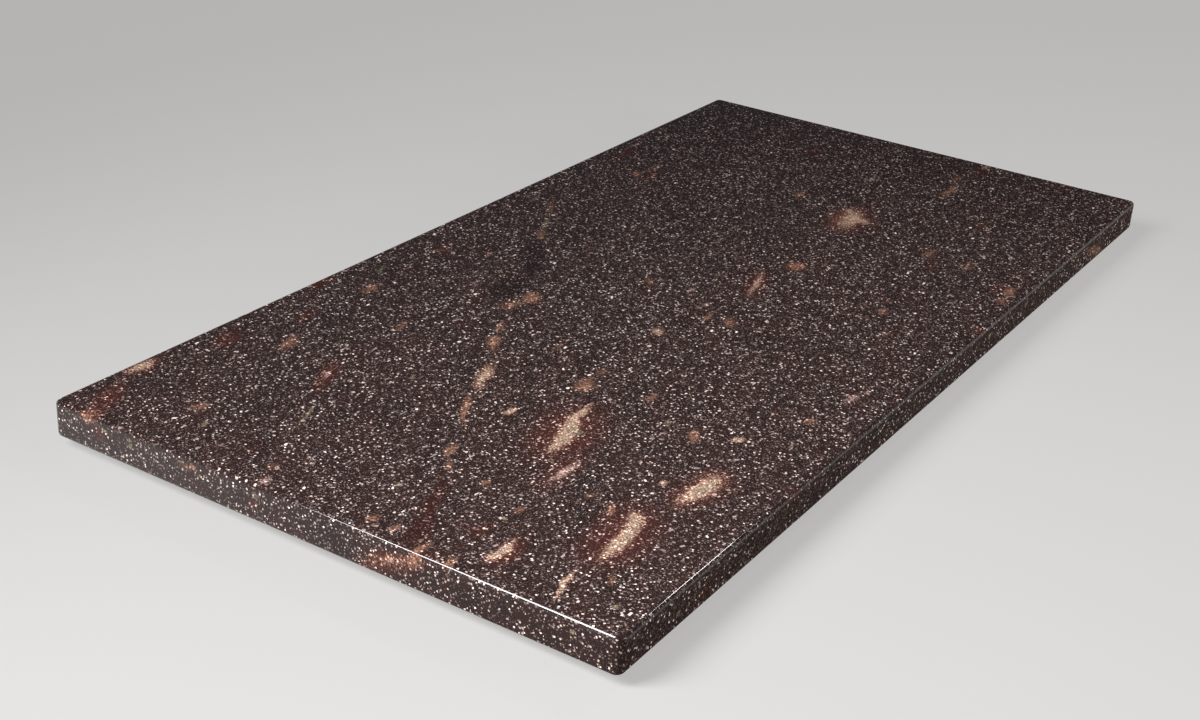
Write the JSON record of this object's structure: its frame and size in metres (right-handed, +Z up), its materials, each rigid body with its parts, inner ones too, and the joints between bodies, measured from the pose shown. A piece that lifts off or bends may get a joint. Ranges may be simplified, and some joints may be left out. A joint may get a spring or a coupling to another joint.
{
  "type": "stone tooling slab",
  "caption": "Flat rectangular slab of polished dark speckled stone with eased edges, resting on low round rubber feet, as a hard base for stamping and tooling leather.",
  "frame": {"origin": "on the bench, under the middle of the slab, level with the soles of the feet", "axes": "+Z up through the polished working face, +X along the slab's long side, +Y along its short side"},
  "size_m": [0.61, 0.305, 0.0234],
  "materials": {
    "stone": "polished",
    "foot_rubber": "matte",
    "adhesive_foam": "matte"
  },
  "bodies": {
    "root": {"stone_slab": "stone", "adhesive_disc_front_left": "adhesive_foam", "adhesive_disc_front_right": "adhesive_foam", "adhesive_disc_back_left": "adhesive_foam", "adhesive_disc_back_right": "adhesive_foam", "foot_front_left": "foot_rubber", "foot_front_right": "foot_rubber", "foot_back_left": "foot_rubber", "foot_back_right": "foot_rubber"}
  },
  "joints": []
}
